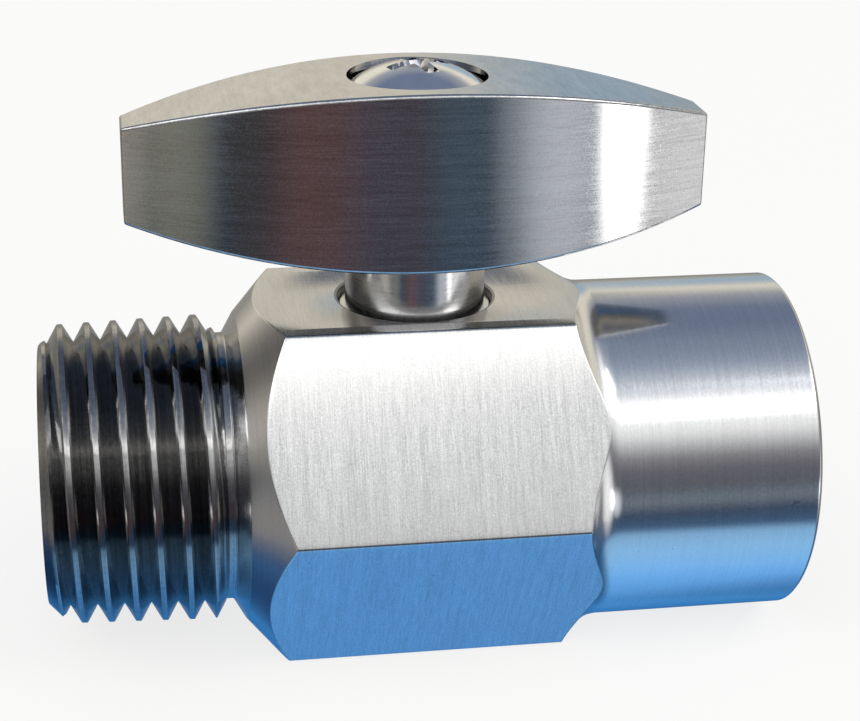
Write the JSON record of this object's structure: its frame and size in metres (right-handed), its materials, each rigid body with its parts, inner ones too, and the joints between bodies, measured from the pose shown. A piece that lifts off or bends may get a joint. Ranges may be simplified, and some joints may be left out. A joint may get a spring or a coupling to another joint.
{
  "type": "ball valve",
  "caption": "Small stainless quarter-turn ball valve with a male pipe thread, a hexagonal body, a female threaded socket and a lens-shaped bar handle on a round stem.",
  "frame": {"origin": "centre of the ball, where the flow axis and the stem axis cross", "axes": "+X along the flow axis from the male thread to the female socket, +Z along the stem axis towards the handle"},
  "size_m": [0.0515, 0.0278, 0.0402],
  "materials": {
    "body_steel": "brushed flats, turned ends",
    "handle_steel": "brushed lengthwise",
    "stem_steel": "turned",
    "retainer_steel": "turned",
    "screw_steel": "polished",
    "polished_ball": "mirror",
    "ptfe": "waxy white",
    "seal_rubber": "matt black"
  },
  "bodies": {
    "body": {"valve_body": "body_steel", "inlet_seat": "ptfe", "outlet_seat": "ptfe", "seat_retainer": "retainer_steel", "retainer_o_ring": "seal_rubber", "stop_pin": "stem_steel"},
    "stem_and_handle": {"stem": "stem_steel", "lower_stem_o_ring": "seal_rubber", "upper_stem_o_ring": "seal_rubber", "handle": "handle_steel", "lock_washer": "screw_steel", "handle_screw": "screw_steel"},
    "ball": {"ball": "polished_ball"}
  },
  "joints": [
    {"name": "handle_turn", "type": "hinge", "parent": "body", "child": "stem_and_handle", "pos_m": [0, 0, 0], "axis": [0, 0, 1], "range_deg": [-90, 0]},
    {"name": "ball_turn", "type": "hinge", "parent": "body", "child": "ball", "pos_m": [0, 0, 0], "axis": [0, 0, 1], "range_deg": [-90, 0]}
  ],
  "couplings": [
    {"joint": "ball_turn", "follows": "handle_turn", "ratio": 1}
  ]
}
